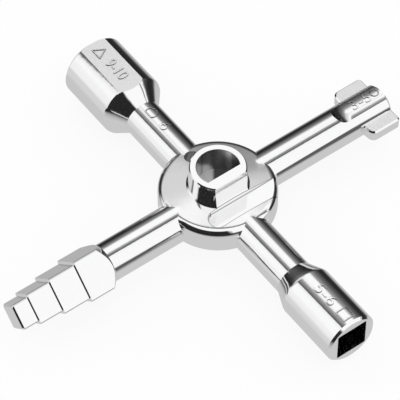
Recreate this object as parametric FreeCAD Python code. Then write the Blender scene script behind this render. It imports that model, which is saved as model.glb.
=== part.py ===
"""Four-way service key, cast in one piece.

Frame: the origin is on the hub axis in the mid plane of the arms. The double-bit arm points to +X,
the stepped square bit to -X, the triangle socket to +Y, the square socket to -Y, and the D-shaped
socket opens to +Z.
"""

import math
import os

import FreeCAD
import Part

V = FreeCAD.Vector

# Shafts of the four arms
SHAFT_D = 7.5
NECK_ROUND = 0.8
CROWN_BLEND = 2.0

# Hub disc with its shallow cone
HUB_D = 22.1
HUB_TOP = 3.45
HUB_UNDER = -2.03
APEX_Z = 4.98
RIM_ROUND = 1.5
UNDER_ROUND = 1.2

# D-shaped socket on the hub
D_KEY_HEIGHT = 6.0
D_BORE_R = 4.1
D_WALL = 1.2
D_FLAT_WALL = 2.0
D_TOP = 9.0
D_DEPTH = 5.7
D_DRAFT = 2.8
D_FLAT_DRAFT = 5.0
D_EDGE = 0.2
D_FOOT_EASE = 0.3

# Level land beside the flat of the D
LAND_Z = 3.45
LAND_FAR_Y = -4.6
LAND_NEAR_Y = -8.1
LAND_LEFT_X = -6.4
LAND_CORNER = 1.6
LAND_SLOPE = 35.0

# Small round hole through the hub
EYE_D = 2.9
EYE_Y = 8.0

# Edges that the two socket heads share
HEAD_EDGE = 0.25
HEAD_SINK = 1.5
MOUTH_EDGE = 0.45

# Triangle socket, side lengths at the mouth and at the bottom
TRI_MOUTH = 10.0
TRI_BOTTOM = 9.0
TRI_DEPTH = 12.0
TRI_HEAD_D = 13.1
TRI_SHAFT_END = 23.6
TRI_HEAD_START = 27.0
TRI_END = 39.9
TRI_FLAT_W = 5.4
TRI_CORNER = 0.4

# Square socket, widths at the mouth and at the bottom
SQ_MOUTH = 6.3
SQ_BOTTOM = 5.0
SQ_DEPTH = 12.0
SQ_HEAD_D = 10.4
SQ_SHAFT_END = 22.9
SQ_HEAD_START = 26.3
SQ_END = 39.5
SQ_CORNER = 0.3

# Double-bit end with its pin bore
BIT_END = 38.2
WING_SPAN = 12.3
WING_T = 2.6
WING_START = 31.2
WING_LENGTH = 6.8
WING_LEAD = 0.3
WING_HEEL = 1.3
WING_CORNER = 0.6
WING_EDGE = 0.3
WING_SINK = 0.6
BIT_EDGE = 0.5
BIT_FLAT_Z = 3.1
BIT_FLAT_START = 27.8
BIT_RAMP = 35.0
BIT_RAMP_ROUND = 3.0
PIN_BORE_D = 5.0
PIN_BORE_DEPTH = 6.0
PIN_STEP_D = 3.2
PIN_STEP_DEPTH = 4.0

# Stepped square bit, (width across flats, end of the step) from the root to the tip
STEPS = [(8.0, 32.0), (7.0, 37.4), (6.0, 42.1), (5.0, 45.4)]
STEP_ROOT = 25.4
STEP_RUN = 0.15
ROOT_ANGLE = 45.0
STEP_EDGE = 0.35
TIP_CHAMFER = 0.3

SHAFT_R = SHAFT_D / 2
HUB_R = HUB_D / 2

X_AXIS = V(1, 0, 0)
Y_AXIS = V(0, 1, 0)
Z_AXIS = V(0, 0, 1)


def rounded_face(corners, place):
    """Face through corners (a, b, radius), each rounded by its radius; place maps (a, b) into space."""
    spans = []
    count = len(corners)
    for i in range(count):
        a0, b0, _ = corners[i - 1]
        a1, b1, radius = corners[i]
        a2, b2, _ = corners[(i + 1) % count]
        if radius == 0:
            spans.append(((a1, b1), None, (a1, b1)))
            continue
        u = FreeCAD.Vector(a0 - a1, b0 - b1, 0).normalize()
        w = FreeCAD.Vector(a2 - a1, b2 - b1, 0).normalize()
        half = u.getAngle(w) / 2
        reach = radius / math.tan(half)
        corner = V(a1, b1, 0)
        first = corner + u * reach
        last = corner + w * reach
        middle_way = (u + w).normalize()
        middle = corner + middle_way * (radius / math.sin(half) - radius)
        spans.append(((first.x, first.y), (middle.x, middle.y), (last.x, last.y)))
    edges = []
    for i in range(count):
        first, middle, last = spans[i]
        if middle is not None:
            edges.append(Part.Arc(place(*first), place(*middle), place(*last)).toShape())
        following = spans[(i + 1) % count][0]
        if math.hypot(last[0] - following[0], last[1] - following[1]) > 1e-6:
            edges.append(Part.makeLine(place(*last), place(*following)))
    return Part.Face(Part.Wire(edges))


def turned(corners, axis):
    """Solid turned about an axis through the origin; corners are (distance along, radius, rounding).

    The seam is on the underside of an arm, and under the square socket's arm on the hub.
    """
    side = V(0, -1, 0) if axis.z else V(0, 0, -1)
    face = rounded_face(corners, lambda a, b: axis * a + side * b)
    return face.revolve(V(0, 0, 0), axis, 360)


def square_wire(width, edge, x):
    """Square turned on its corner, across flats `width`, in the plane at x, with rounded corners."""
    corner = width / math.sqrt(2)
    ring = [(corner, 0, edge), (0, corner, edge), (-corner, 0, edge), (0, -corner, edge)]
    return rounded_face(ring, lambda a, b: V(x, a, b)).OuterWire


def tapered_hole(mouth_wire, bottom_wire):
    return Part.makeLoft([mouth_wire, bottom_wire], True, True)


def rod(start, end, r, axis):
    """Plain round bar between two distances along an axis."""
    return turned([(start, 0, 0), (start, r, 0), (end, r, 0), (end, 0, 0)], axis)


def eased_end(end, r, size):
    """Corners of a flat end face whose edge has a small chamfer."""
    return [(end - size, r, 0), (end, r - size, 0), (end, 0, 0)]


def crossed_shafts(length):
    return [rod(-length, length, SHAFT_R, X_AXIS), rod(-length, length, SHAFT_R, Y_AXIS)]


def cone_fall():
    return (APEX_Z - HUB_TOP) / HUB_R


def wide_cone(far):
    """Cone of the hub, carried outwards to the radius `far`."""
    low = APEX_Z - cone_fall() * far
    return turned([(low, 0, 0), (low, far, 0), (APEX_Z, 0, 0)], Z_AXIS)


def hub_and_boss():
    """Hub disc and the round outside of the D socket, turned in one profile."""
    lean = math.tan(math.radians(D_DRAFT))
    top_r = D_BORE_R + D_WALL
    foot_r = (top_r + (D_TOP - APEX_Z) * lean) / (1 - cone_fall() * lean)
    corners = [
        (-SHAFT_R, 0, 0),
        (-SHAFT_R, SHAFT_R, 0),
        (HUB_UNDER, HUB_R, UNDER_ROUND),
        (HUB_TOP, HUB_R, RIM_ROUND),
        (APEX_Z - cone_fall() * (foot_r + D_FOOT_EASE), foot_r + D_FOOT_EASE, 0),
        (APEX_Z - cone_fall() * foot_r + D_FOOT_EASE, foot_r, 0),
    ] + eased_end(D_TOP, top_r, D_EDGE)
    return turned(corners, Z_AXIS)


def flat_cut():
    """Tool for the outside flat of the D, standing on the cone."""
    lean = math.tan(math.radians(D_FLAT_DRAFT))
    flat = D_KEY_HEIGHT - D_BORE_R + D_FLAT_WALL
    high = D_TOP + 1
    ring = [
        (-flat + lean, high, 0),
        (-flat - (D_TOP - HUB_TOP) * lean, HUB_TOP, 0),
        (-HUB_R, HUB_TOP, 0),
        (-HUB_R, high, 0),
    ]
    wedge = rounded_face(ring, lambda a, b: V(-HUB_R, a, b)).extrude(V(2 * HUB_R, 0, 0))
    tool = wedge.cut(wide_cone(2 * HUB_R))
    foot = [e for e in tool.Edges if e.BoundBox.ZMax < D_TOP and e.BoundBox.YMin > -HUB_R / 2]
    return tool.makeChamfer(D_FOOT_EASE, foot)


def crown_core():
    """Middle of the hub, where the cone runs softly into the crowns of the four shafts."""
    far = 1.5 * HUB_R
    low = APEX_Z - cone_fall() * far
    block = rod(-HUB_R, low, far, Z_AXIS)
    rough = wide_cone(far).fuse([block] + crossed_shafts(2 * HUB_R)).removeSplitter()
    creases = [e for e in rough.Edges
               if e.Curve.TypeId == "Part::GeomBSplineCurve" and e.CenterOfMass.z > SHAFT_R / 2]
    soft = rough.makeFillet(CROWN_BLEND, creases)
    return soft.common(rod(0, HUB_R, HUB_R - RIM_ROUND, Z_AXIS))


def necks():
    """Concave roundings where the shafts leave the side of the hub."""
    wall = rod(-2 * SHAFT_D, 2 * SHAFT_D, HUB_R, Z_AXIS)
    rough = wall.fuse(crossed_shafts(2 * HUB_R)).removeSplitter()
    loops = [e for e in rough.Edges if e.Curve.TypeId == "Part::GeomBSplineCurve"
             and math.hypot(e.BoundBox.Center.x, e.BoundBox.Center.y) > HUB_R / 2]
    reach = HUB_R + 1.6 * NECK_ROUND
    band = turned([
        (HUB_UNDER + UNDER_ROUND, 0, 0),
        (HUB_UNDER + UNDER_ROUND, reach, NECK_ROUND),
        (HUB_TOP - RIM_ROUND, reach, NECK_ROUND),
        (HUB_TOP - RIM_ROUND, 0, 0),
    ], Z_AXIS)
    return rough.makeFillet(NECK_ROUND, loops).common(band)


def d_bore():
    floor = D_TOP - D_DEPTH
    flat = D_KEY_HEIGHT - D_BORE_R
    beyond = 2 * D_BORE_R
    rest = Part.makeBox(2 * beyond, beyond, D_DEPTH, V(-beyond, -flat - beyond, floor))
    return rod(floor, D_TOP, D_BORE_R, Z_AXIS).cut(rest)


def plain_arms():
    along_y = rod(-SQ_SHAFT_END, TRI_SHAFT_END, SHAFT_R, Y_AXIS)
    return rod(-STEP_ROOT, WING_START, SHAFT_R, X_AXIS).fuse(along_y)


def socket_head(shaft_end, head_start, end, r, axis):
    """Round head of a socket, with its conical shoulder and a short overlap into the shaft."""
    slope = V(head_start - shaft_end, r - SHAFT_R, 0).normalize() * HEAD_EDGE
    shoulder = [
        (shaft_end - HEAD_SINK, 0, 0),
        (shaft_end - HEAD_SINK, SHAFT_R, 0),
        (shaft_end, SHAFT_R, 0),
        (head_start - slope.x, r - slope.y, 0),
        (head_start + HEAD_EDGE, r, 0),
    ]
    return turned(shoulder + eased_end(end, r, MOUTH_EDGE), axis)


def triangle_head():
    r = TRI_HEAD_D / 2
    head = socket_head(TRI_SHAFT_END, TRI_HEAD_START, TRI_END, r, Y_AXIS)
    flat_z = math.sqrt(r * r - TRI_FLAT_W ** 2 / 4)
    return head.cut(Part.makeBox(2 * r, TRI_END, r, V(-r, TRI_SHAFT_END, flat_z)))


def square_head():
    return socket_head(SQ_SHAFT_END, SQ_HEAD_START, SQ_END, SQ_HEAD_D / 2, -Y_AXIS)


def triangle_hole():
    def wire(side, y):
        half = side / 2
        high = half * math.tan(math.radians(30))
        low = -2 * high
        ring = [(half, high, TRI_CORNER), (-half, high, TRI_CORNER), (0, low, TRI_CORNER)]
        return rounded_face(ring, lambda a, b: V(a, y, b)).OuterWire
    return tapered_hole(wire(TRI_MOUTH, TRI_END), wire(TRI_BOTTOM, TRI_END - TRI_DEPTH))


def square_hole():
    def wire(width, y):
        half = width / 2
        ring = [(a * half, b * half, SQ_CORNER) for a, b in ((1, 1), (-1, 1), (-1, -1), (1, -1))]
        return rounded_face(ring, lambda a, b: V(a, y, b)).OuterWire
    return tapered_hole(wire(SQ_MOUTH, -SQ_END), wire(SQ_BOTTOM, -SQ_END + SQ_DEPTH))


def double_bit():
    stem = turned([
        (WING_START - SHAFT_D, 0, 0),
        (WING_START - SHAFT_D, SHAFT_R, 0),
    ] + eased_end(BIT_END, SHAFT_R, BIT_EDGE), X_AXIS)
    half = WING_SPAN / 2
    end = WING_START + WING_LENGTH
    outline = [
        (WING_START, -SHAFT_R + WING_SINK, 0),
        (WING_START + WING_LEAD, -half, WING_HEEL),
        (end, -half, WING_CORNER),
        (end, half, WING_CORNER),
        (WING_START + WING_LEAD, half, WING_HEEL),
        (WING_START, SHAFT_R - WING_SINK, 0),
    ]
    wings = rounded_face(outline, lambda a, b: V(a, b, -WING_T / 2)).extrude(V(0, 0, WING_T))
    level = [e for e in wings.Edges if abs(abs(e.CenterOfMass.z) - WING_T / 2) < 1e-6]
    return stem.fuse(wings.makeChamfer(WING_EDGE, level))


def bit_flat():
    """Tool for the level flat on the double-bit arm and its hollow ramp."""
    ramp_run = (SHAFT_D - BIT_FLAT_Z) / math.tan(math.radians(BIT_RAMP))
    ring = [
        (BIT_FLAT_START, BIT_FLAT_Z, BIT_RAMP_ROUND),
        (BIT_END + SHAFT_R, BIT_FLAT_Z, 0),
        (BIT_END + SHAFT_R, SHAFT_D, 0),
        (BIT_FLAT_START - ramp_run, SHAFT_D, 0),
    ]
    return rounded_face(ring, lambda a, b: V(a, -SHAFT_R, b)).extrude(V(0, SHAFT_D, 0))


def pin_bore():
    shelf = BIT_END - PIN_BORE_DEPTH
    step = rod(shelf - PIN_STEP_DEPTH, BIT_END, PIN_STEP_D / 2, X_AXIS)
    return rod(shelf, BIT_END, PIN_BORE_D / 2, X_AXIS).fuse(step)


def stepped_bit():
    """Square bar in four steps, its root turned down to the shaft by a cone."""
    stations = [(STEPS[0][0], STEP_ROOT)]
    for (width, end), (next_width, _) in zip(STEPS, STEPS[1:]):
        stations.append((width, end))
        stations.append((next_width, end + STEP_RUN))
    tip_width, tip = STEPS[-1]
    stations.append((tip_width, tip - TIP_CHAMFER))
    stations.append((tip_width - 2 * TIP_CHAMFER, tip))
    bar = Part.makeLoft([square_wire(width, STEP_EDGE, -x) for width, x in stations], True, True)
    rise = STEPS[0][0] - SHAFT_R
    root = turned([
        (STEP_ROOT, 0, 0),
        (STEP_ROOT, SHAFT_R, 0),
        (STEP_ROOT + rise / math.tan(math.radians(ROOT_ANGLE)), SHAFT_R + rise, 0),
        (tip, SHAFT_R + rise, 0),
        (tip, 0, 0),
    ], -X_AXIS)
    return bar.common(root)


def land_ring(grow, z):
    """Plan outline of the land, grown outwards by `grow`."""
    left = LAND_LEFT_X - grow
    far = LAND_FAR_Y + grow
    near = LAND_NEAR_Y - grow
    right = HUB_R + 1
    ring = [(left, near, LAND_CORNER), (right, near, 0), (right, far, 0), (left, far, LAND_CORNER)]
    return rounded_face(ring, lambda a, b: V(a, b, z))


def land_cut():
    return land_ring(0, LAND_Z).extrude(V(0, 0, SHAFT_R))


def land_pad():
    depth = LAND_Z - HUB_TOP + RIM_ROUND
    grow = depth * math.tan(math.radians(LAND_SLOPE))
    rings = [land_ring(0, LAND_Z).OuterWire, land_ring(grow, LAND_Z - depth).OuterWire]
    pad = Part.makeLoft(rings, True, True)
    disc = turned([
        (0, 0, 0),
        (0, HUB_R, 0),
        (LAND_Z, HUB_R, RIM_ROUND),
        (LAND_Z, 0, 0),
    ], Z_AXIS)
    return pad.common(disc)


def key():
    body = hub_and_boss().cut(flat_cut())
    body = body.fuse([crown_core(), necks(), plain_arms()])
    body = body.fuse([triangle_head(), square_head(), double_bit(), stepped_bit()])
    body = body.cut(land_cut())
    body = body.fuse(land_pad())
    body = body.cut(d_bore())
    body = body.cut(triangle_hole())
    body = body.cut(square_hole())
    body = body.cut(pin_bore())
    body = body.cut(bit_flat())
    body = body.cut(Part.makeCylinder(EYE_D / 2, 4 * SHAFT_R, V(0, EYE_Y, -2 * SHAFT_R)))
    return body.removeSplitter()


os.makedirs("parts", exist_ok=True)
key().exportStep("parts/cross_key.step")
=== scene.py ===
"""Looks of the four-way service key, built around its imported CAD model."""

import math

import bmesh
import bpy
from bpy.props import FloatProperty, FloatVectorProperty, PointerProperty
from mathutils import Matrix, Vector


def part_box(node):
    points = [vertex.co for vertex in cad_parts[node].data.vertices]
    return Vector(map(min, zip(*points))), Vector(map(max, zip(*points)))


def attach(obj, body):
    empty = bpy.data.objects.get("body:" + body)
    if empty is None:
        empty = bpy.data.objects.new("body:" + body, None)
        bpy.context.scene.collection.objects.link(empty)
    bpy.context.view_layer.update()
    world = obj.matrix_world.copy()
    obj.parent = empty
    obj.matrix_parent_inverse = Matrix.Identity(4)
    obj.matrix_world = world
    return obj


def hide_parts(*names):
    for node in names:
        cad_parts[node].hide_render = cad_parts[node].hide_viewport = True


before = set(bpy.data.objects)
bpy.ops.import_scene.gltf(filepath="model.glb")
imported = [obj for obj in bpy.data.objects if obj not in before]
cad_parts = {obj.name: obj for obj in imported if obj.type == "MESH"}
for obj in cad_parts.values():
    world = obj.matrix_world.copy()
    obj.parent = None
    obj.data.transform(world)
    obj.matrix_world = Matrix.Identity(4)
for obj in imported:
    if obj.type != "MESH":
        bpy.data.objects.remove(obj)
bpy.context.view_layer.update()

bl_info = {
    "name": "Service key",
    "version": (1, 0, 0),
    "blender": (4, 5, 0),
    "location": "View3D > Sidebar > Service key",
    "description": "Plated body, raised size signs and studio of a four-way service key",
    "category": "Object",
}

# One millimetre in metres. Lengths below are in millimetres where MM multiplies them at their use
MM = 0.001
NODE = "cross_key"
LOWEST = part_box(NODE)[0].z
# Points nearer than this many metres are one point
WELD = 1e-7

# The camera looks from the front left, over the square socket and the stepped bit
VIEW_AZIMUTH = math.radians(-36.5)
VIEW_ELEVATION = math.radians(52.35)
# The point it looks at, from the hub's middle to the right and up in the picture
AIM_RIGHT = -3.27
AIM_UP = -0.5
# Its distance and the nearest distance that is drawn, in metres, and its focal length
CAMERA_DISTANCE = 0.514
NEAREST = 0.05
LENS = 252.2


def view_axes():
    """Right, up and backward directions of the camera."""
    a, e = VIEW_AZIMUTH, VIEW_ELEVATION
    right = Vector((math.cos(a), math.sin(a), 0))
    back = Vector((math.sin(a) * math.cos(e), -math.cos(a) * math.cos(e), math.sin(e)))
    return right, back.cross(right), back


def new_piece(name, mesh):
    """Object for a finished mesh, in the scene."""
    piece = bpy.data.objects.new(name, mesh)
    bpy.context.scene.collection.objects.link(piece)
    return piece


def finish_piece(piece, material):
    """Gives a piece of the key its material and body."""
    piece.data.materials.clear()
    piece.data.materials.append(material)
    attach(piece, "root")


# Edges flatter than these stay smooth: the first against a level face, the second elsewhere
LEVEL_CREASE = math.radians(9.5)
CREASE = math.radians(18.5)
# A face is level when the upright share of its normal is past this
LEVEL = 0.9999


def mark_creases(bm):
    """Smooth faces, with a sharp edge wherever the casting turns."""
    for edge in bm.edges:
        if len(edge.link_faces) != 2:
            edge.smooth = False
            continue
        first, second = edge.link_faces
        level = abs(first.normal.z) > LEVEL or abs(second.normal.z) > LEVEL
        edge.smooth = edge.calc_face_angle(0) < (LEVEL_CREASE if level else CREASE)
    for face in bm.faces:
        face.smooth = True


def joined_copy(node, name):
    """Copy of a CAD node with its loose faces joined into one closed skin."""
    bm = bmesh.new()
    bm.from_mesh(node.data)
    bmesh.ops.remove_doubles(bm, verts=bm.verts, dist=WELD)
    bm.normal_update()
    mark_creases(bm)
    mesh = bpy.data.meshes.new(name)
    bm.to_mesh(mesh)
    bm.free()
    if "custom_normal" in mesh.attributes:
        mesh.attributes.remove(mesh.attributes["custom_normal"])
    return mesh


class Nodes:
    """Short way to add and link the nodes of one tree."""

    def __init__(self, tree):
        self.tree = tree
        tree.nodes.clear()

    def add(self, kind, inputs=None, **settings):
        node = self.tree.nodes.new(kind)
        for name, value in settings.items():
            setattr(node, name, value)
        for name, value in (inputs or {}).items():
            self.feed(node, name, value)
        return node

    def feed(self, node, name, value):
        socket = node.inputs[name]
        if isinstance(value, bpy.types.NodeSocket):
            self.tree.links.new(value, socket)
        else:
            socket.default_value = value

    def math(self, operation, first, second=0.0):
        node = self.add("ShaderNodeMath", operation=operation)
        self.feed(node, 0, first)
        self.feed(node, 1, second)
        return node.outputs[0]

    def length(self, first, second):
        """Length of the line with these two sides."""
        squares = self.math("ADD", self.math("MULTIPLY", first, first), self.math("MULTIPLY", second, second))
        return self.math("SQRT", squares)


def fill_ramp(ramp, stops):
    """Sets a colour ramp from (angle, grey) stops, with -180 degrees at its start and 180 at its end."""
    while len(ramp.elements) > 1:
        ramp.elements.remove(ramp.elements[-1])
    for i, (angle, grey) in enumerate(stops):
        position = (angle + 180) / 360
        element = ramp.elements.new(position) if i else ramp.elements[0]
        element.position = position
        element.color = (grey, grey, grey, 1)


def step(n, value, low, high):
    """Smooth step of a value, from 0 at `low` to 1 at `high`."""
    node = n.add("ShaderNodeMapRange", {"Value": value, "From Min": low, "From Max": high},
                 interpolation_type="SMOOTHSTEP")
    return node.outputs[0]


def blend(n, share, first, second):
    """Mix of two values or sockets: all of the first at share 0, all of the second at 1."""
    node = n.add("ShaderNodeMix", data_type="FLOAT")
    n.feed(node, 0, share)
    n.feed(node, 2, first)
    n.feed(node, 3, second)
    return node.outputs[0]


# Soft rim of a mask
MASK_RIM = 0.01
# D socket, where reflections and shade are painted: radius of its bore, how far that mask goes towards -Y,
# its mouth, bright lip and floor
D_BORE_R = 4.1
D_BORE_FLAT = 2.2
D_TOP_Z = 9.0
D_LIP = 0.1
D_FLOOR_Z = 3.3
# Line between the painted light and the painted shadow on that floor: its heading, place and softness
D_FLOOR_TURN = math.radians(36.5)
D_FLOOR_EDGE = -1.2
D_FLOOR_FADE = 0.7
# Small hole beside the D socket
EYE_Y = 8.0
EYE_R = 1.45
EYE_TOP_Z = 3.6
# Level land beside the D socket: its outline, and the line of painted shade that runs round it inside the
# hub, along its edge
LAND_MIDDLE_X, LAND_HALF_X = 6.8, 13.2
LAND_MIDDLE_Y, LAND_HALF_Y = -6.35, 1.75
LAND_CORNER = 1.6
LAND_LOW_Z = 2.6
LAND_LINE = 0.15
LAND_WALL = 0.02
HUB_R = 11.05
# Heads of the triangle and square sockets, with the flat for the triangle head's sign
TRI_SHOULDER_Y = 25.0
TRI_HEAD_R = 6.55
TRI_FLAT_W = 5.4
TRI_FLAT_Z = math.sqrt(TRI_HEAD_R ** 2 - TRI_FLAT_W ** 2 / 4)
SQ_HEAD_R = 5.2
SHAFT_R = 3.75
# Double-bit arm: its level cut with the hollow and the crown, and its wings
BIT_FLAT_Z = 3.1
BIT_CUT_X = 25.0
BIT_CROWN_R = 5.2
BIT_HOLLOW = 0.4
BIT_HOLLOW_START = 27.8
BIT_HOLLOW_END = 30.2
WING_START = 31.0
WING_FOOT = 3.6
WING_FLAT_Z = 1.3


class Spots:
    """Masks of the places where the plating differs and where light and shade are painted on it, in the key's
    own frame.
    """

    def __init__(self, n, place):
        parts = n.add("ShaderNodeSeparateXYZ", {"Vector": place}).outputs
        self.n = n
        self.x, self.y, self.z = parts["X"], parts["Y"], parts["Z"]

    def reach(self, y):
        """Distance from the upright line at (0, y)."""
        return self.n.length(self.x, self.n.math("SUBTRACT", self.y, y * MM))

    def beyond(self, value, edge):
        """1 where the value is past the edge, 0 where it is short of it."""
        return step(self.n, value, (edge - MASK_RIM) * MM, edge * MM)

    def within(self, value, edge):
        """1 where the value is short of the edge, 0 where it is past it."""
        return step(self.n, value, (edge + MASK_RIM) * MM, edge * MM)

    def both(self, first, second):
        """1 only where both masks are 1."""
        return self.n.math("MULTIPLY", first, second)

    def d_bore(self):
        """Wall and floor of the D socket, where reflections and shade are painted."""
        level = self.both(self.beyond(self.z, D_FLOOR_Z - MASK_RIM),
                          self.within(self.z, D_TOP_Z - D_LIP))
        round_part = self.both(self.within(self.reach(0), D_BORE_R + MASK_RIM),
                               self.beyond(self.y, -D_BORE_FLAT))
        return self.both(level, round_part)

    def d_floor(self):
        """Everything as low as the floor of the D socket."""
        return self.within(self.z, D_FLOOR_Z + MASK_RIM)

    def painted_shadow_side(self):
        """0 where light is painted on the socket's floor, 1 where shadow is painted on it."""
        n = self.n
        across = n.math("SUBTRACT", n.math("MULTIPLY", self.x, math.cos(D_FLOOR_TURN)),
                        n.math("MULTIPLY", self.y, math.sin(D_FLOOR_TURN)))
        return step(n, across, D_FLOOR_EDGE * MM, (D_FLOOR_EDGE + D_FLOOR_FADE) * MM)

    def turn(self):
        """Angle round the D socket as a share of a full turn."""
        angle = self.n.math("ARCTAN2", self.y, self.x)
        return self.n.math("ADD", self.n.math("DIVIDE", angle, 2 * math.pi), 0.5)

    def land_shade_line(self):
        """Thin line of painted shade round the level land beside the D socket, along its edge."""
        n = self.n
        past = []
        for value, middle, half in ((self.x, LAND_MIDDLE_X, LAND_HALF_X),
                                    (self.y, LAND_MIDDLE_Y, LAND_HALF_Y)):
            off = n.math("ABSOLUTE", n.math("SUBTRACT", value, middle * MM))
            past.append(n.math("MAXIMUM", n.math("SUBTRACT", off, (half - LAND_CORNER) * MM), 0.0))
        off = n.math("ABSOLUTE", n.math("SUBTRACT", n.length(*past), LAND_CORNER * MM))
        line = self.both(step(n, off, LAND_LINE * MM, LAND_LINE / 2 * MM),
                         self.beyond(off, LAND_WALL))
        hub = self.both(self.beyond(self.z, LAND_LOW_Z), self.within(self.reach(0), HUB_R))
        return self.both(line, hub)

    def bit_lean(self):
        """Lean of the skin on the double-bit arm's cut: hollow at its start, slightly crowned along it."""
        n = self.n
        cut = self.both(self.within(n.length(self.y, self.z), SHAFT_R - 2 * MASK_RIM),
                        self.beyond(self.z, BIT_FLAT_Z - MASK_RIM))
        cut = self.both(cut, self.beyond(self.x, BIT_CUT_X))
        start = step(n, self.x, BIT_HOLLOW_END * MM, BIT_HOLLOW_START * MM)
        hollow = n.math("MULTIPLY", start, BIT_HOLLOW)
        lean = n.add("ShaderNodeCombineXYZ")
        n.feed(lean, "X", self.both(hollow, cut))
        n.feed(lean, "Y", self.both(n.math("DIVIDE", self.y, BIT_CROWN_R * MM), cut))
        return lean.outputs[0]

    def eye_hole(self):
        """Wall of the small hole, darkened with painted shade."""
        return self.both(self.within(self.reach(EYE_Y), EYE_R + MASK_RIM),
                         self.within(self.z, EYE_TOP_Z))

    def triangle_flat(self):
        """Flat on the triangle head."""
        return self.both(self.beyond(self.z, TRI_FLAT_Z - MASK_RIM),
                         self.beyond(self.y, TRI_SHOULDER_Y))

    def wing_flats(self):
        """Upper and lower faces of the double bit's wings."""
        out = self.both(self.beyond(self.x, WING_START),
                        self.beyond(self.n.math("ABSOLUTE", self.y), WING_FOOT))
        return self.both(out, self.beyond(self.n.math("ABSOLUTE", self.z), WING_FLAT_Z - MASK_RIM))


# Noise under the plating as (scale, detail): clouds in its tint and blur, waves and grain of the skin
CLOUDS = (900.0, 3.0)
WAVES = (1200.0, 2.0)
GRAIN = (3500.0, 2.0)
# Darkest tint and the spread of the blur that the clouds bring, as shares of the finish
CLOUD_TINT = 0.97
CLOUD_BLUR = (0.7, 1.3)
# Duller places: the flats and the wings. Painted shade: the line round the land, the small hole
MATT_SHADE = 0.85
MATT_GRAIN = 0.3
MATT_ROUGHNESS = 0.35
LAND_LINE_PAINTED_SHADE = 0.3
EYE_PAINTED_SHADE = 0.5
# D socket: painted reflections and shade on its wall by the angle round it from +X, and painted light and
# shadow on its non-metal floor
BORE_PAINTED_REFLECTIONS = [
    (-180, 0.8), (-60, 0.6), (-36, 0.25), (-2, 0.3), (13, 0.4), (19, 0.9), (24, 1.0), (30, 0.9),
    (37, 0.6), (52, 0.85), (66, 0.55), (80, 1.0), (93, 0.9), (99, 0.5), (108, 0.9), (143, 0.9),
    (170, 0.8),
]
BORE_ROUGHNESS = 0.25
D_FLOOR_PAINTED_LIGHT = 1.0
D_FLOOR_PAINTED_SHADOW = 0.12
D_FLOOR_METAL = 0.0
# Painted shade at the foot of a raised sign: the attribute with the share of its height, where the foot ends,
# its shade
RISE = "rise"
FOOT_END = 0.75
FOOT_PAINTED_SHADE = 0.12


def noise(n, place, kind):
    """Noise of one of the kinds above, from 0 to 1."""
    scale, detail = kind
    return n.add("ShaderNodeTexNoise", {"Vector": place, "Scale": scale, "Detail": detail}).outputs["Fac"]


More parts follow.
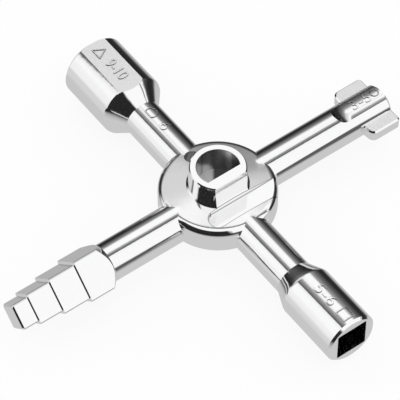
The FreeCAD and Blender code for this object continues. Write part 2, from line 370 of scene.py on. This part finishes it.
def plating_material(finish, name="bright plating", painted_shade_foot=False):
    """Bright plating with faint waves of the casting under it, with painted shade at the foot of raised
    signs, round the land and in the small hole, and painted reflections, light and shadow in the D socket.
    """
    material = bpy.data.materials.new(name)
    material.use_nodes = True
    n = Nodes(material.node_tree)
    coordinates = n.add("ShaderNodeTexCoord").outputs
    place = coordinates["Object"]
    cloud = noise(n, place, CLOUDS)
    tint = n.add("ShaderNodeMix", data_type="RGBA")
    n.feed(tint, 0, cloud)
    n.feed(tint, 6, (*[CLOUD_TINT * c for c in finish.colour], 1))
    n.feed(tint, 7, (*finish.colour, 1))
    spots = Spots(n, place)
    bore, eye = spots.d_bore(), spots.eye_hole()
    matt = n.math("MAXIMUM", spots.triangle_flat(), spots.wing_flats())
    grain = noise(n, place, GRAIN)
    # Painted reflections on the D socket's wall by the angle round it, and painted light and shadow on its
    # floor
    painted_bore_reflections = n.add("ShaderNodeValToRGB", {"Fac": spots.turn()})
    fill_ramp(painted_bore_reflections.color_ramp, BORE_PAINTED_REFLECTIONS)
    floor = blend(n, spots.painted_shadow_side(), D_FLOOR_PAINTED_LIGHT, D_FLOOR_PAINTED_SHADOW)
    inside = blend(n, spots.d_floor(), painted_bore_reflections.outputs["Color"], floor)
    dusty = n.math("MULTIPLY_ADD", grain, MATT_GRAIN)
    n.feed(dusty.node, 2, MATT_SHADE)
    # Painted shade on the line round the land, in the small hole and in the D socket, and the duller tone of
    # the flats
    shade = blend(n, matt, blend(n, spots.land_shade_line(), 1.0, LAND_LINE_PAINTED_SHADE), dusty)
    shade = blend(n, bore, blend(n, eye, shade, EYE_PAINTED_SHADE), inside)
    if painted_shade_foot:
        # Painted shade on the lower part of a raised sign's sides
        rise = n.add("ShaderNodeAttribute", attribute_name=RISE).outputs["Fac"]
        shade = n.math("MULTIPLY", shade, blend(n, step(n, rise, FOOT_END, 1.0), FOOT_PAINTED_SHADE, 1.0))
    shaded = n.add("ShaderNodeVectorMath", {0: tint.outputs[2]}, operation="SCALE")
    n.feed(shaded, "Scale", shade)
    rough = n.add("ShaderNodeMapRange", {"Value": cloud})
    n.feed(rough, "To Min", finish.roughness * CLOUD_BLUR[0])
    n.feed(rough, "To Max", finish.roughness * CLOUD_BLUR[1])
    blur = blend(n, bore, blend(n, matt, rough.outputs[0], MATT_ROUGHNESS), BORE_ROUGHNESS)
    cast_floor = n.math("MULTIPLY", bore, spots.d_floor())
    uneven = n.math("ADD", noise(n, place, WAVES), n.math("MULTIPLY", grain, matt))
    leaning = n.add("ShaderNodeVectorMath", {0: coordinates["Normal"], 1: spots.bit_lean()},
                    operation="ADD")
    skin = n.add("ShaderNodeVectorMath", {0: leaning.outputs[0]}, operation="NORMALIZE")
    bump = n.add("ShaderNodeBump", {
        "Height": uneven,
        "Strength": 1.0,
        "Distance": finish.wave,
        "Normal": skin.outputs[0],
    })
    shader = n.add("ShaderNodeBsdfPrincipled", {
        "Base Color": shaded.outputs[0],
        "Roughness": blur,
        "Metallic": blend(n, cast_floor, 1.0, D_FLOOR_METAL),
        "Normal": bump.outputs[0],
    })
    n.add("ShaderNodeOutputMaterial", {"Surface": shader.outputs[0]})
    return material


# Grey that the metal mirrors, by the angle round the camera's sideways axis: 0 is the far horizon,
# 90 is overhead
STUDIO = [
    (-180, 0.12), (-171, 0.12), (-164, 0.28), (-152, 0.56), (-138, 0.68), (-75, 0.66), (-42, 0.62),
    (-30, 0.52), (-22, 0.3), (-15, 0.1), (-8, 0.03), (6, 0.02), (14, 0.055), (20, 0.1), (27, 0.15),
    (33, 0.24), (40, 0.42), (44, 0.92), (48, 1.12), (62, 1.14), (68.5, 1.08), (71.5, 0.5),
    (74.5, 0.34), (79, 0.22), (82.2, 0.05), (83, 0.05), (83.8, 1.0), (92, 1.12), (154, 1.12),
    (158, 1.0), (163, 0.3), (169, 0.12),
]
# Strength of all that the metal mirrors
MIRRORED_LEVEL = 0.925
# Lean of the overhead cards. The far side is a level band up to BAND_START and leans past BAND_TOP, and
# the near side leans from NEAR_RIM on
CARD_LEAN = 0.13
BAND_START = 0.2
BAND_TOP = 0.5
NEAR_RIM = (0.1, 0.0)
# Dark corner behind the camera: left, right, lower and upper edge, width of their soft rim, and its grey
DARK_LEFT, DARK_RIGHT, DARK_LOW, DARK_HIGH = (math.radians(a) for a in (-75, 22, -12, 56))
DARK_RIM = math.radians(4)
DARK_GREY = 0.02
# Dimmer sides of the far card: where they begin, soft lower and upper edge in degrees, share that is lost
SIDE_RIM = (0.12, 0.22)
SIDE_LOW = (36, 44)
SIDE_HIGH = (68, 54)
SIDE_DIM = 0.32
# Light from the left: its soft rim, and its grey at the lower and the upper end
LEFT_RIM = (-0.86, -0.965)
LEFT_LOW = 0.77
LEFT_HIGH = 1.03


class Directions:
    """Mirror directions seen from the camera's heading, as node sockets."""

    def __init__(self, n, way):
        turned = n.add("ShaderNodeVectorRotate", {"Vector": way, "Angle": -VIEW_AZIMUTH},
                       rotation_type="Z_AXIS")
        parts = n.add("ShaderNodeSeparateXYZ", {"Vector": turned.outputs[0]}).outputs
        self.right, self.far, self.up = parts["X"], parts["Y"], parts["Z"]
        self.height = n.math("ARCSINE", self.up)
        self.wedge = n.math("ARCTAN2", self.up, self.far)
        self.heading = n.math("ARCTAN2", self.right, n.math("MULTIPLY", self.far, -1.0))
        self.side = n.math("ARCSINE", self.right)


def mirrored_grey(n, way):
    """What the metal mirrors in each direction."""
    d = Directions(n, way)
    leaning = n.math("SUBTRACT", d.wedge, n.math("MULTIPLY", d.side, CARD_LEAN))
    high = step(n, n.math("ABSOLUTE", d.up), BAND_START, BAND_TOP)
    near = step(n, d.far, *NEAR_RIM)
    angle = blend(n, n.math("MAXIMUM", high, near), d.height, leaning)
    share = n.math("ADD", n.math("DIVIDE", angle, 2 * math.pi), 0.5)
    ramp = n.add("ShaderNodeValToRGB", {"Fac": share})
    fill_ramp(ramp.color_ramp, STUDIO)
    dark = step(n, d.heading, DARK_LEFT - DARK_RIM, DARK_LEFT + DARK_RIM)
    for value, low, up in ((d.heading, DARK_RIGHT + DARK_RIM, DARK_RIGHT - DARK_RIM),
                           (d.height, DARK_HIGH + DARK_RIM, DARK_HIGH - DARK_RIM),
                           (d.height, DARK_LOW - DARK_RIM, DARK_LOW + DARK_RIM)):
        dark = n.math("MULTIPLY", dark, step(n, value, low, up))
    cards = blend(n, dark, ramp.outputs["Color"], DARK_GREY)
    aside = step(n, n.math("ABSOLUTE", d.side), *SIDE_RIM)
    aside = n.math("MULTIPLY", aside, step(n, d.wedge, *(math.radians(a) for a in SIDE_LOW)))
    aside = n.math("MULTIPLY", aside, step(n, d.wedge, *(math.radians(a) for a in SIDE_HIGH)))
    cards = n.math("MULTIPLY", cards, n.math("SUBTRACT", 1.0, n.math("MULTIPLY", aside, SIDE_DIM)))
    left = blend(n, step(n, n.math("SINE", d.wedge), -1.0, 1.0), LEFT_LOW, LEFT_HIGH)
    return blend(n, step(n, d.right, *LEFT_RIM), cards, left)


def studio_world(light):
    """White to the camera, even light to dull surfaces, cards and strips to mirror-like metal."""
    world = bpy.data.worlds.new("studio")
    bpy.context.scene.world = world
    world.use_nodes = True
    n = Nodes(world.node_tree)
    way = n.add("ShaderNodeTexCoord").outputs["Generated"]
    rays = n.add("ShaderNodeLightPath").outputs
    cards = n.add("ShaderNodeBackground",
                  {"Color": mirrored_grey(n, way), "Strength": MIRRORED_LEVEL})
    even = n.add("ShaderNodeBackground", {"Color": (1, 1, 1, 1), "Strength": light.level})
    white = n.add("ShaderNodeBackground", {"Color": (1, 1, 1, 1), "Strength": 1.0})
    first = n.add("ShaderNodeMixShader")
    n.feed(first, 0, rays["Is Glossy Ray"])
    n.feed(first, 1, even.outputs[0])
    n.feed(first, 2, cards.outputs[0])
    second = n.add("ShaderNodeMixShader")
    n.feed(second, 0, rays["Is Camera Ray"])
    n.feed(second, 1, first.outputs[0])
    n.feed(second, 2, white.outputs[0])
    n.add("ShaderNodeOutputWorld", {"Surface": second.outputs[0]})


class KeyFinish(bpy.types.PropertyGroup):
    """Finish of the plated casting."""

    colour: FloatVectorProperty(
        name="Plating colour", description="Colour that the plating gives its reflections",
        subtype="COLOR", size=3, min=0, max=1, default=(0.93, 0.93, 0.935))
    roughness: FloatProperty(
        name="Roughness", description="Blur of the reflections", subtype="FACTOR",
        min=0, max=1, default=0.07)
    wave: FloatProperty(
        name="Waves", description="Height of the unevenness of the casting", subtype="DISTANCE",
        unit="LENGTH", min=0, max=0.001, precision=6, default=0.004 * MM)


class KeySigns(bpy.types.PropertyGroup):
    """Raised size signs."""

    proud: FloatProperty(
        name="Height", description="How far the signs stand above the metal", subtype="DISTANCE",
        unit="LENGTH", min=0, max=0.001, precision=5, default=0.17 * MM)
    digits: FloatProperty(
        name="Digit height", description="Height of the digits", subtype="DISTANCE",
        unit="LENGTH", min=0, max=0.003, precision=5, default=2.4 * MM)
    stroke: FloatProperty(
        name="Outline width", description="Width of the drawn shapes' lines", subtype="DISTANCE",
        unit="LENGTH", min=0, max=0.001, precision=5, default=0.3 * MM)


class KeyStage(bpy.types.PropertyGroup):
    """Floor and light."""

    level: FloatProperty(
        name="Even light", description="Strength of the light on dull surfaces",
        min=0, max=5, default=1.0)
    reach: FloatProperty(
        name="Floor size", description="Half the width of the floor", subtype="DISTANCE",
        unit="LENGTH", min=0.1, max=10, default=2.0)


# Digit height of the built-in font at size 1
DIGIT_SHARE = 0.73
# How deep the signs sit in the metal, and their soft edge
SIGN_SINK = 0.05 * MM
SIGN_EDGE = 0.03 * MM
# Steps of a digit's curve, of the bead's section and of a ring or a D's arc, and the longest step of an
# outline
DIGIT_STEPS = 4
BEAD_STEPS = 3
ARC_STEPS = 24
OUTLINE_STEP = 0.3


def on_level(z):
    """Places a point (x, y, height) on a level flat."""
    return lambda x, y, h: Vector((x, y, z * MM + h))


def on_crown(radius):
    """Places a point (across, y, height) round the crown of an arm that runs along Y."""
    r = radius * MM
    return lambda x, y, h: Vector((math.sin(x / r) * (r + h), y, math.cos(x / r) * (r + h)))


def read_along_x(point, centre):
    """Keeps a reading line along +X with its top to +Y."""
    return centre[0] * MM + point.x, centre[1] * MM + point.y


def read_towards_hub(point, centre):
    """Turns a reading line so that it runs to -Y with its top to +X."""
    return centre[0] * MM + point.y, centre[1] * MM - point.x


def curve_mesh(curve):
    """Closed mesh of a text or drawn outline."""
    holder = bpy.data.objects.new(curve.name, curve)
    mesh = bpy.data.meshes.new_from_object(holder)
    bpy.data.objects.remove(holder)
    bpy.data.curves.remove(curve)
    return mesh


def digits_mesh(words, length, signs):
    """Raised digits, drawn together to a given length."""
    curve = bpy.data.curves.new("digits", "FONT")
    curve.body = words
    curve.size = signs.digits / DIGIT_SHARE
    curve.align_x = "CENTER"
    curve.align_y = "CENTER"
    curve.resolution_u = DIGIT_STEPS
    curve.extrude = (signs.proud + SIGN_SINK) / 2 - SIGN_EDGE
    curve.bevel_depth = SIGN_EDGE
    curve.offset = -SIGN_EDGE
    mesh = curve_mesh(curve)
    reach = [v.co.x for v in mesh.vertices]
    narrow = length * MM / (max(reach) - min(reach))
    lift = Matrix.Translation((0, 0, (signs.proud - SIGN_SINK) / 2))
    mesh.transform(lift @ Matrix.Diagonal((narrow, 1, 1, 1)))
    return mesh


def outline_mesh(points, signs):
    """Bead along a closed line of (along, up) points, half sunk in the metal."""
    curve = bpy.data.curves.new("outline", "CURVE")
    curve.dimensions = "3D"
    curve.bevel_depth = signs.stroke / 2
    curve.bevel_resolution = BEAD_STEPS
    spline = curve.splines.new("POLY")
    spline.points.add(len(points) - 1)
    for place, (s, t) in zip(spline.points, points):
        place.co = (s * MM, t * MM, signs.proud - signs.stroke / 2, 1)
    spline.use_cyclic_u = True
    return curve_mesh(curve)


def corners(count, radius, start):
    """Corners of an even polygon, the first at the angle `start`."""
    angles = [start + 2 * math.pi * i / count for i in range(count)]
    return [(radius * math.cos(a), radius * math.sin(a)) for a in angles]


def walked(points):
    """The same closed line with short steps, so that it can follow a crown."""
    line = []
    for (s0, t0), (s1, t1) in zip(points, points[1:] + points[:1]):
        count = math.ceil(math.hypot(s1 - s0, t1 - t0) / OUTLINE_STEP)
        line += [(s0 + (s1 - s0) * i / count, t0 + (t1 - t0) * i / count) for i in range(count)]
    return line


def d_shape(radius, flat):
    """Circle with its lower part cut off level at -flat."""
    start = math.asin(-flat / radius)
    sweep = math.pi - 2 * start
    angles = [start + sweep * i / ARC_STEPS for i in range(ARC_STEPS + 1)]
    return [(radius * math.cos(a), radius * math.sin(a)) for a in angles]


# Name, surface, way of reading, digits with their length and middle, outline and its middle
SIGNS = [
    ("triangle_sign", on_level(TRI_FLAT_Z), read_towards_hub, "9-10", 5.1, (0.05, 31.85),
     corners(3, 1.45, math.pi / 2), (-0.2, 37.15)),
    ("square_sign", on_crown(SQ_HEAD_R), read_towards_hub, "5-6", 4.9, (-0.15, -31.85),
     corners(4, 1.6, math.pi / 4), (0.05, -37.2)),
    ("pin_sign", on_level(BIT_FLAT_Z), read_along_x, "3-5", 4.4, (33.5, 0.4),
     corners(ARC_STEPS, 0.8, 0), (36.9, 0.55)),
    ("d_sign", on_crown(SHAFT_R), read_towards_hub, "6", 1.6, (0.35, 17.0),
     d_shape(1.15, 0.7), (0.2, 21.0)),
]


def sign_mesh(name, surface, reading, words, length, words_middle, outline, outline_middle, signs):
    """Digits and outline of one sign, laid on their surface."""
    bm = bmesh.new()
    for mesh, middle in ((digits_mesh(words, length, signs), words_middle),
                         (outline_mesh(walked(outline), signs), outline_middle)):
        rise = mesh.attributes.new(RISE, "FLOAT", "POINT")
        for vertex, share in zip(mesh.vertices, rise.data):
            share.value = (vertex.co.z + SIGN_SINK) / (signs.proud + SIGN_SINK)
            vertex.co = surface(*reading(vertex.co, middle), vertex.co.z)
        bm.from_mesh(mesh)
        bpy.data.meshes.remove(mesh)
    bmesh.ops.remove_doubles(bm, verts=bm.verts, dist=WELD)
    bmesh.ops.recalc_face_normals(bm, faces=bm.faces)
    joined = bpy.data.meshes.new(name)
    mark_creases(bm)
    bm.to_mesh(joined)
    bm.free()
    return joined


# Share of plain white in what the camera sees of the floor, which leaves a faint shadow
FLOOR_GLOW = 0.88
# Greys of the floor under that, and the scale of the noise between them
FLOOR_GREYS = (0.93, 0.95)
FLOOR_GRAIN = 40.0


def floor_material():
    """Pale floor, nearly white to the camera."""
    material = bpy.data.materials.new("pale floor")
    material.use_nodes = True
    n = Nodes(material.node_tree)
    place = n.add("ShaderNodeTexCoord").outputs["Object"]
    grain = n.add("ShaderNodeTexNoise", {"Vector": place, "Scale": FLOOR_GRAIN})
    tone = n.add("ShaderNodeMix", data_type="RGBA")
    n.feed(tone, 0, grain.outputs["Fac"])
    for socket, grey in zip((6, 7), FLOOR_GREYS):
        n.feed(tone, socket, (grey, grey, grey, 1))
    dull = n.add("ShaderNodeBsdfDiffuse", {"Color": tone.outputs[2]})
    glow = n.add("ShaderNodeEmission", {"Strength": 1.0})
    mix = n.add("ShaderNodeMixShader")
    rays = n.add("ShaderNodeLightPath").outputs
    n.feed(mix, 0, n.math("MULTIPLY", rays["Is Camera Ray"], FLOOR_GLOW))
    n.feed(mix, 1, dull.outputs[0])
    n.feed(mix, 2, glow.outputs[0])
    n.add("ShaderNodeOutputMaterial", {"Surface": mix.outputs[0]})
    return material


def add_camera(scene):
    """Camera that frames the key as the photograph does."""
    right, up, back = view_axes()
    aim = (AIM_RIGHT * right + AIM_UP * up) * MM
    data = bpy.data.cameras.new("camera")
    data.lens = LENS
    data.clip_start = NEAREST
    camera = bpy.data.objects.new("camera", data)
    scene.collection.objects.link(camera)
    turned = Matrix((right, up, back)).transposed().to_4x4()
    camera.matrix_world = Matrix.Translation(aim + back * CAMERA_DISTANCE) @ turned
    scene.camera = camera


class KEY_OT_signs(bpy.types.Operator):
    """Add the raised size signs on the arms"""

    bl_idname = "service_key.signs"
    bl_label = "Size signs"

    def execute(self, context):
        material = plating_material(context.scene.key_finish, "plated signs", painted_shade_foot=True)
        for sign in SIGNS:
            mesh = sign_mesh(*sign, context.scene.key_signs)
            finish_piece(new_piece(sign[0], mesh), material)
        return {"FINISHED"}


class KEY_OT_body(bpy.types.Operator):
    """Add the plated casting over the CAD body"""

    bl_idname = "service_key.body"
    bl_label = "Plated body"

    def execute(self, context):
        piece = new_piece("plated_body", joined_copy(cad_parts[NODE], "plated_body"))
        normals = piece.modifiers.new("even shading", "WEIGHTED_NORMAL")
        normals.mode = "FACE_AREA_WITH_ANGLE"
        normals.keep_sharp = True
        finish_piece(piece, plating_material(context.scene.key_finish))
        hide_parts(NODE)
        return {"FINISHED"}


class KEY_OT_stage(bpy.types.Operator):
    """Add the floor, the light and the camera"""

    bl_idname = "service_key.stage"
    bl_label = "Stage"

    def execute(self, context):
        stage = context.scene.key_stage
        bm = bmesh.new()
        bmesh.ops.create_grid(bm, x_segments=1, y_segments=1, size=stage.reach)
        bmesh.ops.translate(bm, verts=bm.verts, vec=(0, 0, LOWEST))
        mesh = bpy.data.meshes.new("floor")
        bm.to_mesh(mesh)
        bm.free()
        floor = new_piece("floor", mesh)
        floor.visible_glossy = False
        mesh.materials.append(floor_material())
        studio_world(stage)
        add_camera(context.scene)
        context.scene.view_settings.view_transform = "Standard"
        return {"FINISHED"}


class KEY_PT_panel(bpy.types.Panel):
    """Sizes and finish of the service key"""

    bl_idname = "KEY_PT_panel"
    bl_label = "Service key"
    bl_space_type = "VIEW_3D"
    bl_region_type = "UI"
    bl_category = "Service key"

    def draw(self, context):
        for group in (context.scene.key_finish, context.scene.key_signs, context.scene.key_stage):
            for name in group.bl_rna.properties.keys():
                if name not in ("rna_type", "name"):
                    self.layout.prop(group, name)
        for operator in OPERATORS:
            self.layout.operator(operator.bl_idname)


OPERATORS = (KEY_OT_body, KEY_OT_signs, KEY_OT_stage)
CLASSES = (KeyFinish, KeySigns, KeyStage, *OPERATORS, KEY_PT_panel)


def register():
    for cls in CLASSES:
        bpy.utils.register_class(cls)
    bpy.types.Scene.key_finish = PointerProperty(type=KeyFinish)
    bpy.types.Scene.key_signs = PointerProperty(type=KeySigns)
    bpy.types.Scene.key_stage = PointerProperty(type=KeyStage)


def unregister():
    del bpy.types.Scene.key_stage
    del bpy.types.Scene.key_signs
    del bpy.types.Scene.key_finish
    for cls in reversed(CLASSES):
        bpy.utils.unregister_class(cls)


def main():
    register()
    bpy.ops.service_key.body()
    bpy.ops.service_key.signs()
    bpy.ops.service_key.stage()


if __name__ == "__main__":
    main()
